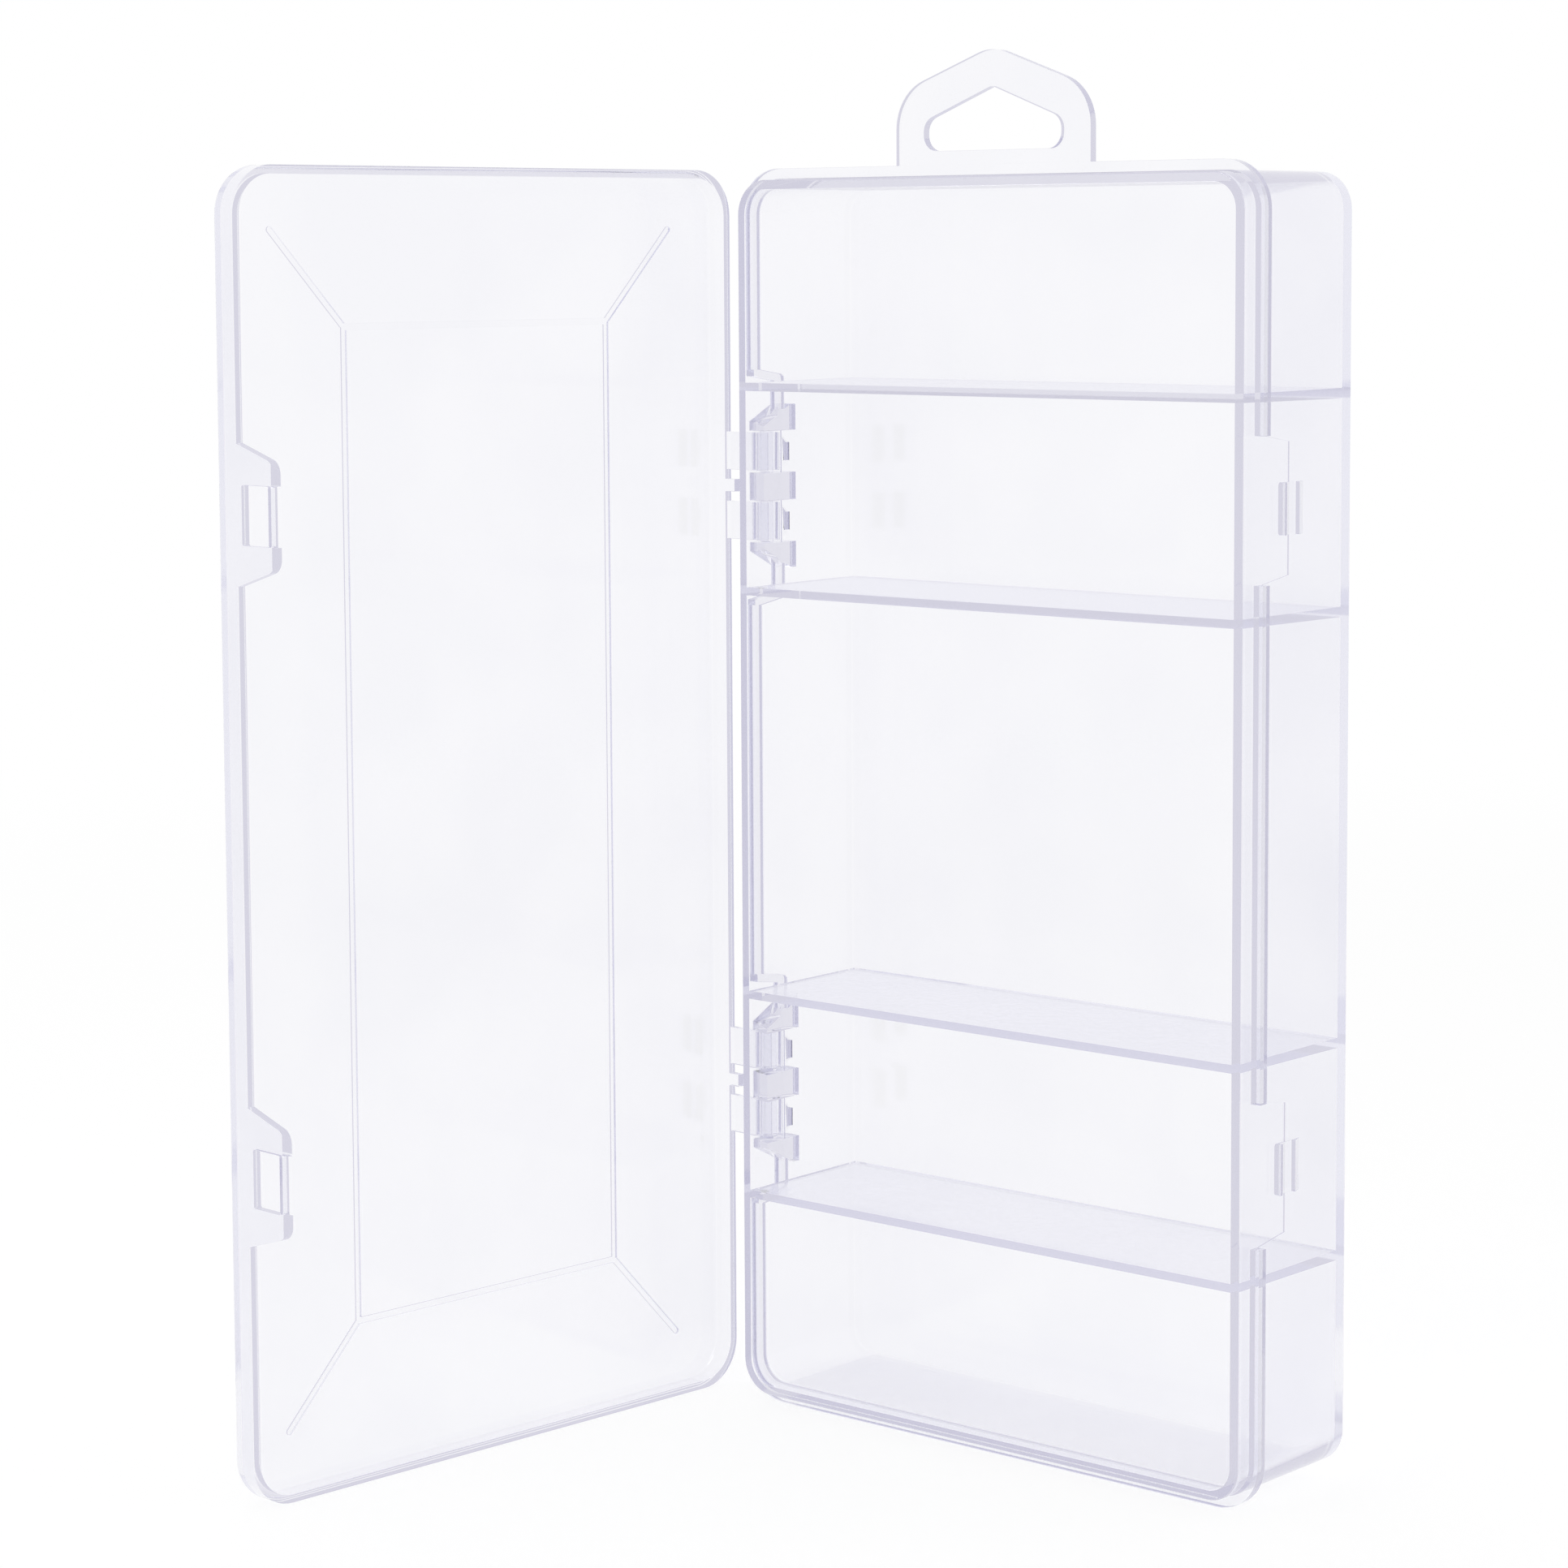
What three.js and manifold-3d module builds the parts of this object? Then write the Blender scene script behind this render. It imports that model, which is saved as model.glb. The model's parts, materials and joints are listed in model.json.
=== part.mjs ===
// A clear small parts box, standing upright with its lid swung open: a tray with moulded dividers
// and a hang tab, and a lid that snaps onto the tray's hinge pins and latches over its catches.
// X runs across the tray, Y into its depth and Z up. The group's origin is the middle of the
// flange's bottom edge, which the tray stands on.
import * as THREE from "three";
import { mergeVertices } from "three/addons/utils/BufferGeometryUtils.js";
import Module from "manifold-3d";

const wasm = await Module();
wasm.setup();

// Tray sizes in millimetres
const TRAY_WIDTH = 86.6; // across the rim
const TRAY_HEIGHT = 175; // along the rim
const TRAY_DEPTH = 25;
const WALL = 1.3;
const BACK_WALL = 1.3;
const CORNER_RADIUS = 4.9;
const BODY_STEP = 0.2; // how far the body stands out past the rim on each side
const BACK_EDGE_ROUND = 0.4;
const RIM_EDGE_ROUND = 0.2;
const DIVIDER_SHARES = [-1 / 3, -1 / 6, 1 / 6, 1 / 3]; // of the tray's height, from its middle
const DIVIDER_FRONT = 1.15; // thickness at the open edge
const DIVIDER_BACK = 1.4; // thickness at the back wall, with the mould's draft

// Flange round the tray, which the lid closes on
const FLANGE_SETBACK = 2.6; // from the rim's edge
const FLANGE_THICKNESS = 1.6;
const FLANGE_SIDE_OVERHANG = 1.4;
const FLANGE_END_OVERHANG = 1.6;

// Hang tab on top of the flange, with its hole for a peg hook
const TAB_THICKNESS = 1.2;
const TAB_HALF_WIDTH = 16.65;
const TAB_RISE = 15.8; // from the flange's top to the apex, before its rounding
const TAB_ROOF_RISE = 6; // from the shoulders to the apex, before rounding
const TAB_SHOULDER_RADIUS = 7;
const TAB_APEX_RADIUS = 6.9;
const HOLE_HALF_WIDTH = 11.75;
const HOLE_LIFT = 1.9; // from the flange's top to the hole
const HOLE_SIDE = 4.1;
const HOLE_ROOF_RISE = 4.5;
const HOLE_END_RADIUS = 2.2;
const HOLE_APEX_RADIUS = 1;

// Lid
const LID_DEPTH = 4.3;
const LID_SKIRT = 1.15;
const LID_PANEL = 1.2;
const LID_EDGE_ROUND = 1;
const LID_SEAT_GAP = 0.3; // between the closed skirt and the flange
const LID_OPEN_ANGLE = THREE.MathUtils.degToRad(94.2);

// Fine sunk lines on the lid: a rectangle, and a line from each of its corners
const LINE_WIDTH = 0.9;
const LINE_DEPTH = 0.35;
const LINE_SIDE_MARGIN = 20.6; // from the lid's long sides to the rectangle
const LINE_END_MARGIN = 20.9; // from the lid's short ends to the rectangle
const LINE_TIP_SIDE_MARGIN = 8.6;
const LINE_TIP_END_MARGIN = 8.1;
const LINE_TIP_ROUND_SHARE = 0.48; // of the line's width

// Two latches on the right and two hinges on the left, at a quarter of the height from the middle
const STATION_SHARES = [-1 / 4, 1 / 4];

// Latch flap of the lid, and the catch on the tray that its window drops over
const FLAP_ROOT_LENGTH = 18.7;
const FLAP_TIP_LENGTH = 13.9;
const FLAP_TIP_RADIUS = 2;
const FLAP_REACH = 7.9; // from the skirt's edge
const FLAP_THICKNESS = 1.15;
const FLAP_TIP_BEVEL = 0.55;
const FLAP_SIDE_CLEARANCE = 0.35;
const WINDOW_LENGTH = 7.9;
const WINDOW_WIDTH = 5.6;
const WINDOW_SETBACK = 1.1; // from the skirt's edge
const WINDOW_RADIUS = 0.3;
const BAR_WIDTH = 0.7;
const BAR_THICKNESS = 0.95;
const CATCH_LENGTH = 6.9;
const CATCH_WIDTH = 6.2;
const CATCH_HEIGHT = 0.85;
const CATCH_FLOOR_HEIGHT = 0.25; // of the groove that the bar drops into
const CATCH_RIDGE_FOOT = 0.75; // the front ridge's width on the wall
const CATCH_RIDGE_TOP = 0.4;
const CATCH_SLOPE = 2.5; // of the rear ridge, down to the wall
const CATCH_CORNER_RADIUS = 0.9;
const CATCH_CLEARANCE = 0.15;
const LATCH_RECESS_REACH = 6.1; // behind the flange
const LATCH_RECESS_TAPER = 0.95;

// Snap hinge: pins between blocks on the tray, and hooks on the lid that turn on them
const PIN_RADIUS = 0.95;
const PIN_CLEARANCE = 0.15;
const HOOK_WALL = 0.75;
const HOOK_TO_BODY = 0.35;
const HOOK_MOUTH_HALF_ANGLE = THREE.MathUtils.degToRad(38);
const AXIS_BEHIND_FLANGE = 3.8;
const MIDDLE_BLOCK_LENGTH = 4;
const KNUCKLE_LENGTH = 5.45;
const KNUCKLE_GAP = 0.3;
const EAR_LENGTH = 3.75;
const EAR_NOSE = 0.6; // the ear's length at its thin front end
const EAR_FLAT = 1.1;
const BLOCK_COVER = 0.35; // of plastic outside the pin
const BLOCK_FRONT_REACH = 2.2; // in front of the axis, at the block's outer face
const BLOCK_ROOT_REACH = 3.6; // in front of the axis, at the tray
const BLOCK_BACK_REACH = 3.7;
const BLOCK_CHAMFER = 1.3;
const GUARD_LENGTH = 2.6;
const GUARD_HEIGHT = 0.7;
const GUARD_NEAR = 0.6; // behind the axis
const GUARD_FAR = 2.3;
const TONGUE_LENGTH = 1.9;
const TONGUE_WIDTH = 1.8;

// The flange steps back round each hinge, so that the lid's hooks can pass
const BAY_HALF_LENGTH = 16;
const BAY_WEB = 0.9;
const BAY_LEAN = 0.8;
const BAY_STEP = 5.1;
const BAY_CORNER_RADIUS = 0.8;

const OVERRUN = 1; // of cutting tools past the face that they leave
const CORNER_SEGMENTS = 6;
const ROUND_SEGMENTS = 14;
const PIN_SEGMENTS = 32;

// Places that follow from the sizes
const bodyWidth = TRAY_WIDTH + 2 * BODY_STEP;
const bodyHeight = TRAY_HEIGHT + 2 * BODY_STEP;
const flangeBack = FLANGE_SETBACK + FLANGE_THICKNESS;
const flangeWidth = TRAY_WIDTH + 2 * FLANGE_SIDE_OVERHANG;
const flangeHeight = TRAY_HEIGHT + 2 * FLANGE_END_OVERHANG;
const flangeRadius = CORNER_RADIUS + FLANGE_END_OVERHANG;
const skirtEdge = FLANGE_SETBACK - LID_SEAT_GAP;
const panelFace = skirtEdge - LID_DEPTH;
const windowNear = skirtEdge + WINDOW_SETBACK;
const windowFar = windowNear + WINDOW_WIDTH;
const hookRadius = PIN_RADIUS + PIN_CLEARANCE + HOOK_WALL;
const axisX = -bodyWidth / 2 - HOOK_TO_BODY - hookRadius;
const axisY = flangeBack + AXIS_BEHIND_FLANGE;
const knuckleStart = MIDDLE_BLOCK_LENGTH / 2 + KNUCKLE_GAP;
const knuckleEnd = knuckleStart + KNUCKLE_LENGTH;
const earStart = knuckleEnd + KNUCKLE_GAP;
const earEnd = earStart + EAR_LENGTH;
const stations = STATION_SHARES.map((share) => share * TRAY_HEIGHT);
const SIDES = [-1, 1];

// The plane that an outline is drawn in; its prism runs along the third axis
const X = new THREE.Vector3(1, 0, 0);
const Y = new THREE.Vector3(0, 1, 0);
const Z = new THREE.Vector3(0, 0, 1);
const FRONT = [X, Z];
const SIDE = [Y, Z];
const PLAN = [X, Y];

// A closed outline through corners given as [u, v, radius]
function outlineOf(corners) {
  const shape = new THREE.Shape();
  corners.forEach(([u, v, radius = 0], i) => {
    const before = corners.at(i - 1);
    const after = corners[(i + 1) % corners.length];
    const coming = new THREE.Vector2(u - before[0], v - before[1]).normalize();
    const going = new THREE.Vector2(after[0] - u, after[1] - v).normalize();
    const turn = Math.atan2(coming.cross(going), coming.dot(going));
    if (radius > 0) {
      const left = new THREE.Vector2(-coming.y, coming.x).multiplyScalar(Math.sign(turn));
      const start = new THREE.Vector2(u, v).addScaledVector(coming, -radius * Math.tan(Math.abs(turn) / 2));
      const centre = start.clone().addScaledVector(left, radius);
      const angle = Math.atan2(-left.y, -left.x);
      shape.absarc(centre.x, centre.y, radius, angle, angle + turn, turn < 0);
    } else if (i === 0) {
      shape.moveTo(u, v);
    } else {
      shape.lineTo(u, v);
    }
  });
  shape.closePath();
  return shape;
}

function roundedRectangle(width, height, radius) {
  const right = width / 2;
  const top = height / 2;
  return outlineOf([
    [-right, -top, radius],
    [right, -top, radius],
    [right, top, radius],
    [-right, top, radius],
  ]);
}

function rectangle(left, bottom, right, top, radius = 0) {
  return outlineOf([
    [left, bottom, radius],
    [right, bottom, radius],
    [right, top, radius],
    [left, top, radius],
  ]);
}

function solidOf(geometry) {
  geometry.deleteAttribute("normal");
  geometry.deleteAttribute("uv");
  const merged = mergeVertices(geometry);
  const vertProperties = merged.attributes.position.array;
  const triVerts = new Uint32Array(merged.index.array);
  return new wasm.Manifold(new wasm.Mesh({ numProp: 3, vertProperties, triVerts }));
}

// An outline in one of the planes, run from low to high along the third axis, with its two
// end edges rounded where a rounding is given
function prism(outline, [u, v], low, high, rounding = 0) {
  const geometry = new THREE.ExtrudeGeometry(outline, {
    depth: high - low - 2 * rounding,
    curveSegments: CORNER_SEGMENTS,
    bevelEnabled: rounding > 0,
    bevelThickness: rounding,
    bevelSize: rounding,
    bevelOffset: -rounding,
    bevelSegments: CORNER_SEGMENTS / 2,
  });
  const along = u.clone().cross(v);
  const start = along.dot(new THREE.Vector3(1, 1, 1)) > 0 ? low : -high;
  geometry.applyMatrix4(new THREE.Matrix4().makeBasis(u, v, along));
  const { x, y, z } = along.multiplyScalar(start + rounding);
  geometry.translate(x, y, z);
  return solidOf(geometry);
}

function join(solids) {
  return solids.reduce((whole, solid) => whole.add(solid));
}

function cut(solid, tools) {
  return tools.reduce((rest, tool) => rest.subtract(tool), solid);
}

function meshOf(name, solid, material) {
  const { vertProperties, triVerts } = solid.getMesh();
  const geometry = new THREE.BufferGeometry();
  geometry.setAttribute("position", new THREE.BufferAttribute(vertProperties, 3));
  geometry.setIndex(new THREE.BufferAttribute(triVerts, 1));
  geometry.computeVertexNormals();
  const mesh = new THREE.Mesh(geometry, material);
  mesh.name = name;
  return mesh;
}

// The body behind the flange, brought back to the rim's faces under each latch flap and hinge
function trayBody() {
  const body = prism(
    roundedRectangle(bodyWidth, bodyHeight, CORNER_RADIUS + BODY_STEP),
    FRONT,
    FLANGE_SETBACK + FLANGE_THICKNESS / 2,
    TRAY_DEPTH,
    BACK_EDGE_ROUND,
  );
  const front = FLANGE_SETBACK;
  const half = FLAP_ROOT_LENGTH / 2 + FLAP_SIDE_CLEARANCE;
  const latchRecesses = stations.map((z) => {
    const outline = outlineOf([
      [front, z - half],
      [flangeBack, z - half],
      [flangeBack + LATCH_RECESS_REACH, z - half + LATCH_RECESS_TAPER],
      [flangeBack + LATCH_RECESS_REACH, z + half - LATCH_RECESS_TAPER],
      [flangeBack, z + half],
      [front, z + half],
    ]);
    return prism(outline, SIDE, TRAY_WIDTH / 2, bodyWidth / 2 + OVERRUN);
  });
  const hingeRecesses = stations.map((z) => {
    const back = FLANGE_SETBACK + BAY_STEP + FLANGE_THICKNESS / 2;
    const outline = rectangle(front, z - BAY_HALF_LENGTH, back, z + BAY_HALF_LENGTH);
    return prism(outline, SIDE, -bodyWidth / 2 - OVERRUN, -TRAY_WIDTH / 2);
  });
  return cut(body, [...latchRecesses, ...hingeRecesses]);
}

// The flange, left open where the latch flaps and the lid's hooks pass
function flange() {
  const plate = prism(
    roundedRectangle(flangeWidth, flangeHeight, flangeRadius),
    FRONT,
    FLANGE_SETBACK,
    flangeBack,
  );
  const front = FLANGE_SETBACK - OVERRUN;
  const back = flangeBack + OVERRUN;
  const half = FLAP_ROOT_LENGTH / 2 + FLAP_SIDE_CLEARANCE;
  const outer = flangeWidth / 2 + OVERRUN;
  const latchGaps = stations.map((z) =>
    prism(rectangle(front, z - half, back, z + half), SIDE, TRAY_WIDTH / 2, outer),
  );
  const hingeGaps = stations.map((z) => {
    const outline = rectangle(front, z - BAY_HALF_LENGTH, back, z + BAY_HALF_LENGTH);
    return prism(outline, SIDE, -outer, -TRAY_WIDTH / 2);
  });
  return cut(plate, [...latchGaps, ...hingeGaps]);
}

// The stretch of flange that steps back beside a hinge and runs into its ear
function hingeBay(z, side) {
  const at = (offset) => z + side * offset;
  const nearFront = FLANGE_SETBACK + BAY_STEP;
  const nearBack = nearFront + FLANGE_THICKNESS;
  const web = BAY_HALF_LENGTH + BAY_WEB;
  const outline = outlineOf([
    [FLANGE_SETBACK, at(web + BAY_WEB)],
    [FLANGE_SETBACK, at(BAY_HALF_LENGTH)],
    [nearFront, at(BAY_HALF_LENGTH - BAY_LEAN)],
    [nearFront, at(earStart + EAR_LENGTH / 2)],
    [nearBack, at(earStart + EAR_LENGTH / 2)],
    [nearBack, at(web - BAY_LEAN), BAY_CORNER_RADIUS],
    [flangeBack, at(web)],
    [flangeBack, at(web + BAY_WEB)],
  ]);
  return prism(outline, SIDE, -flangeWidth / 2, -TRAY_WIDTH / 2 + WALL / 2);
}

// Two wedge-shaped ears and a middle block, with a pin through them
function hingeMount(z) {
  const root = -TRAY_WIDTH / 2 + WALL / 2;
  const outer = axisX - PIN_RADIUS - BLOCK_COVER;
  const front = axisY - BLOCK_ROOT_REACH;
  const back = axisY + BLOCK_BACK_REACH;
  const section = outlineOf([
    [root, front],
    [outer, axisY - BLOCK_FRONT_REACH],
    [outer, back - BLOCK_CHAMFER],
    [outer + BLOCK_CHAMFER, back],
    [root, back],
  ]);
  const middle = prism(section, PLAN, z - MIDDLE_BLOCK_LENGTH / 2, z + MIDDLE_BLOCK_LENGTH / 2);
  const ears = SIDES.map((side) => {
    const at = (offset) => z + side * offset;
    const wedge = outlineOf([
      [front, at(earStart)],
      [back, at(earStart)],
      [back, at(earEnd)],
      [back - EAR_FLAT, at(earEnd)],
      [front, at(earStart + EAR_NOSE)],
    ]);
    const low = Math.min(at(earStart), at(earEnd));
    const bar = prism(section, PLAN, low - OVERRUN, low + EAR_LENGTH + OVERRUN);
    return bar.intersect(prism(wedge, SIDE, outer - OVERRUN, root + OVERRUN));
  });
  const guards = SIDES.map((side) => {
    const outline = outlineOf([
      [root, axisY + GUARD_NEAR],
      [-TRAY_WIDTH / 2, axisY + GUARD_NEAR],
      [-bodyWidth / 2 - GUARD_HEIGHT, axisY + GUARD_FAR],
      [root, axisY + GUARD_FAR],
    ]);
    const centre = z + (side * (knuckleStart + knuckleEnd)) / 2;
    return prism(outline, PLAN, centre - GUARD_LENGTH / 2, centre + GUARD_LENGTH / 2);
  });
  const pin = new THREE.CylinderGeometry(PIN_RADIUS, PIN_RADIUS, 2 * earStart + EAR_LENGTH, PIN_SEGMENTS);
  pin.rotateX(Math.PI / 2);
  pin.translate(axisX, axisY, z);
  const bays = SIDES.map((side) => hingeBay(z, side));
  return join([middle, ...ears, ...guards, solidOf(pin), ...bays]);
}

// A catch on the right wall: a front ridge that the flap's bar passes, the groove that the bar
// drops into, and a rear ridge that slopes down to the wall
function latchCatch(z) {
  const wall = TRAY_WIDTH / 2;
  const root = wall - WALL / 2;
  const floor = wall + CATCH_FLOOR_HEIGHT;
  const top = wall + CATCH_HEIGHT;
  const grooveFront = windowFar - CATCH_CLEARANCE;
  const front = grooveFront - CATCH_RIDGE_FOOT;
  const back = front + CATCH_WIDTH;
  const section = outlineOf([
    [root, front],
    [wall, front],
    [top, grooveFront - CATCH_RIDGE_TOP],
    [top, grooveFront],
    [floor, grooveFront],
    [floor, back - CATCH_SLOPE],
    [top, back - CATCH_SLOPE],
    [wall, back],
    [root, back],
  ]);
  const half = CATCH_LENGTH / 2;
  const face = outlineOf([
    [front, z - half, CATCH_CORNER_RADIUS / 2],
    [back, z - half, CATCH_CORNER_RADIUS],
    [back, z + half, CATCH_CORNER_RADIUS],
    [front, z + half, CATCH_CORNER_RADIUS / 2],
  ]);
  const profile = prism(section, PLAN, z - half, z + half);
  return profile.intersect(prism(face, SIDE, root, top + OVERRUN));
}

// The tab stands on the flange, flush with its back
function hangTab() {
  const base = TRAY_HEIGHT / 2;
  const flangeTop = flangeHeight / 2;
  const apex = flangeTop + TAB_RISE;
  const shoulder = apex - TAB_ROOF_RISE;
  const outline = outlineOf([
    [-TAB_HALF_WIDTH, base],
    [TAB_HALF_WIDTH, base],
    [TAB_HALF_WIDTH, shoulder, TAB_SHOULDER_RADIUS],
    [0, apex, TAB_APEX_RADIUS],
    [-TAB_HALF_WIDTH, shoulder, TAB_SHOULDER_RADIUS],
  ]);
  const floor = flangeTop + HOLE_LIFT;
  const eaves = floor + HOLE_SIDE;
  const hole = outlineOf([
    [-HOLE_HALF_WIDTH, floor, HOLE_END_RADIUS],
    [HOLE_HALF_WIDTH, floor, HOLE_END_RADIUS],
    [HOLE_HALF_WIDTH, eaves, HOLE_END_RADIUS],
    [0, eaves + HOLE_ROOF_RISE, HOLE_APEX_RADIUS],
    [-HOLE_HALF_WIDTH, eaves, HOLE_END_RADIUS],
  ]);
  const front = flangeBack - TAB_THICKNESS;
  const plate = prism(outline, FRONT, front, flangeBack);
  return cut(plate, [prism(hole, FRONT, front - OVERRUN, flangeBack + OVERRUN)]);
}

// A divider across the whole tray, thicker towards the back wall
function divider(share) {
  const z = share * TRAY_HEIGHT;
  const back = TRAY_DEPTH - BACK_WALL / 2;
  const outline = outlineOf([
    [0, z - DIVIDER_FRONT / 2],
    [back, z - DIVIDER_BACK / 2],
    [back, z + DIVIDER_BACK / 2],
    [0, z + DIVIDER_FRONT / 2],
  ]);
  const reach = (TRAY_WIDTH - WALL) / 2;
  return prism(outline, SIDE, -reach, reach);
}

function traySolid() {
  const rim = prism(
    roundedRectangle(TRAY_WIDTH, TRAY_HEIGHT, CORNER_RADIUS),
    FRONT,
    0,
    TRAY_DEPTH - BACK_WALL,
    RIM_EDGE_ROUND,
  );
  const cavity = prism(
    roundedRectangle(TRAY_WIDTH - 2 * WALL, TRAY_HEIGHT - 2 * WALL, CORNER_RADIUS - WALL),
    FRONT,
    -OVERRUN,
    TRAY_DEPTH - BACK_WALL,
  );
  const outside = [rim, trayBody(), flange(), hangTab()];
  const fittings = [...stations.map(hingeMount), ...stations.map(latchCatch)];
  const shell = cut(join([...outside, ...fittings]), [cavity]);
  return join([shell, ...DIVIDER_SHARES.map(divider)]);
}

// A straight line of the lid's pattern, with round ends
function line(from, to) {
  const along = to.clone().sub(from).normalize();
  const across = new THREE.Vector2(-along.y, along.x).multiplyScalar(LINE_WIDTH / 2);
  const radius = LINE_WIDTH * LINE_TIP_ROUND_SHARE;
  const corners = [
    from.clone().sub(across),
    to.clone().sub(across),
    to.clone().add(across),
    from.clone().add(across),
  ];
  return outlineOf(corners.map((corner) => [corner.x, corner.y, radius]));
}

// The sunk rectangle and the four lines from its corners towards the lid's corners
function linePattern() {
  const right = flangeWidth / 2;
  const top = flangeHeight / 2;
  const outerX = right - LINE_SIDE_MARGIN;
  const outerZ = top - LINE_END_MARGIN;
  const low = panelFace - OVERRUN;
  const high = panelFace + LINE_DEPTH;
  const outside = rectangle(-outerX, -outerZ, outerX, outerZ);
  const inX = outerX - LINE_WIDTH;
  const inZ = outerZ - LINE_WIDTH;
  const inside = rectangle(-inX, -inZ, inX, inZ);
  const frame = cut(prism(outside, FRONT, low, high), [prism(inside, FRONT, low - OVERRUN, high + OVERRUN)]);
  const rays = SIDES.flatMap((sideX) =>
    SIDES.map((sideZ) => {
      const corner = new THREE.Vector2(outerX - LINE_WIDTH / 2, outerZ - LINE_WIDTH / 2);
      const tip = new THREE.Vector2(right - LINE_TIP_SIDE_MARGIN, top - LINE_TIP_END_MARGIN);
      const mirror = new THREE.Vector2(sideX, sideZ);
      return prism(line(corner.multiply(mirror), tip.multiply(mirror)), FRONT, low, high);
    }),
  );
  return join([frame, ...rays]);
}

// A latch flap: a tapered plate with a window, a thinner bar across the window's end and a
// bevelled tip on each side of the bar
function latchFlap(z) {
  const outer = flangeWidth / 2;
  const inner = outer - FLAP_THICKNESS;
  const root = skirtEdge - LID_SKIRT;
  const tip = skirtEdge + FLAP_REACH;
  const barEnd = windowFar + BAR_WIDTH;
  const rootHalf = FLAP_ROOT_LENGTH / 2;
  const tipHalf = FLAP_TIP_LENGTH / 2;
  const outline = outlineOf([
    [root, z - rootHalf],
    [skirtEdge, z - rootHalf],
    [tip, z - tipHalf, FLAP_TIP_RADIUS],
    [tip, z + tipHalf, FLAP_TIP_RADIUS],
    [skirtEdge, z + rootHalf],
    [root, z + rootHalf],
  ]);
  const low = z - WINDOW_LENGTH / 2;
  const high = z + WINDOW_LENGTH / 2;
  const opening = rectangle(windowNear, low, windowFar, high, WINDOW_RADIUS);
  const window = prism(opening, SIDE, inner - OVERRUN, outer + OVERRUN);
  const barRelief = prism(
    rectangle(windowFar - WINDOW_RADIUS, low, tip + OVERRUN, high),
    SIDE,
    inner - OVERRUN,
    outer - BAR_THICKNESS,
  );
  const notch = prism(rectangle(barEnd, low, tip + OVERRUN, high), SIDE, inner - OVERRUN, outer + OVERRUN);
  const pastTip = outlineOf([
    [inner, tip],
    [outer, tip - FLAP_TIP_BEVEL],
    [outer + OVERRUN, tip - FLAP_TIP_BEVEL],
    [outer + OVERRUN, tip + OVERRUN],
    [inner, tip + OVERRUN],
  ]);
  const bevel = prism(pastTip, PLAN, z - rootHalf, z + rootHalf);
  return cut(prism(outline, SIDE, inner, outer), [window, barRelief, notch, bevel]);
}

// An arm that runs back from the skirt and curls round the pin, open towards the back
function hingeHook(z, side) {
  const armOuter = -flangeWidth / 2 - axisX;
  const armRoot = skirtEdge - LID_SKIRT - axisY;
  const bore = PIN_RADIUS + PIN_CLEARANCE;
  const nearLip = Math.PI / 2 - HOOK_MOUTH_HALF_ANGLE;
  const farLip = Math.PI / 2 + HOOK_MOUTH_HALF_ANGLE;
  const armMeets = 2 * Math.PI - Math.acos(armOuter / hookRadius);
  const outline = new THREE.Shape();
  outline.moveTo(armOuter, armRoot);
  outline.lineTo(hookRadius, armRoot);
  outline.absarc(0, 0, hookRadius, 0, nearLip, false);
  outline.absarc(0, 0, bore, nearLip, farLip, true);
  outline.absarc(0, 0, hookRadius, farLip, armMeets, false);
  outline.closePath();
  const geometry = new THREE.ExtrudeGeometry(outline, {
    depth: KNUCKLE_LENGTH,
    curveSegments: ROUND_SEGMENTS,
    bevelEnabled: false,
  });
  const low = side > 0 ? z + knuckleStart : z - knuckleEnd;
  geometry.translate(axisX, axisY, low);
  return solidOf(geometry);
}

// The narrow tongue between the two hooks of a hinge
function hingeTongue(z) {
  const outline = rectangle(
    skirtEdge - LID_SKIRT,
    z - TONGUE_WIDTH / 2,
    skirtEdge + TONGUE_LENGTH,
    z + TONGUE_WIDTH / 2,
  );
  return prism(outline, SIDE, -flangeWidth / 2, -flangeWidth / 2 + LID_SKIRT);
}

function lidShell() {
  const far = skirtEdge + 2 * LID_EDGE_ROUND;
  const block = prism(
    roundedRectangle(flangeWidth, flangeHeight, flangeRadius),
    FRONT,
    panelFace,
    far,
    LID_EDGE_ROUND,
  );
  const beyondEdge = prism(
    roundedRectangle(flangeWidth + 2 * OVERRUN, flangeHeight + 2 * OVERRUN, flangeRadius + OVERRUN),
    FRONT,
    skirtEdge,
    far + OVERRUN,
  );
  const inside = prism(
    roundedRectangle(flangeWidth - 2 * LID_SKIRT, flangeHeight - 2 * LID_SKIRT, flangeRadius - LID_SKIRT),
    FRONT,
    panelFace + LID_PANEL,
    far + OVERRUN,
  );
  return cut(block, [beyondEdge, inside, linePattern()]);
}

function lidSolid() {
  const hooks = stations.flatMap((z) => SIDES.map((side) => hingeHook(z, side)));
  return join([lidShell(), ...stations.map(latchFlap), ...hooks, ...stations.map(hingeTongue)]);
}

const clearPlastic = () =>
  new THREE.MeshStandardMaterial({
    color: 0xeceef8,
    roughness: 0.2,
    metalness: 0,
    transparent: true,
    opacity: 0.45,
  });

// The lid turns about the pins; its solid is drawn closed and swung open with its group
const lid = meshOf("lid", lidSolid().translate([-axisX, -axisY, 0]), clearPlastic());
const lidSwing = new THREE.Group();
lidSwing.position.set(axisX, axisY, 0);
lidSwing.rotation.z = -LID_OPEN_ANGLE;
lidSwing.add(lid);

const tray = meshOf("tray", traySolid(), clearPlastic());
const box = new THREE.Group();
box.add(tray, lidSwing);
box.position.set(0, -FLANGE_SETBACK - FLANGE_THICKNESS / 2, flangeHeight / 2);

const root = new THREE.Group();
root.add(box);
export default root;
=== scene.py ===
"""Dresses the clear small parts box in moulded plastic and sets it in a white studio."""

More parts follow.
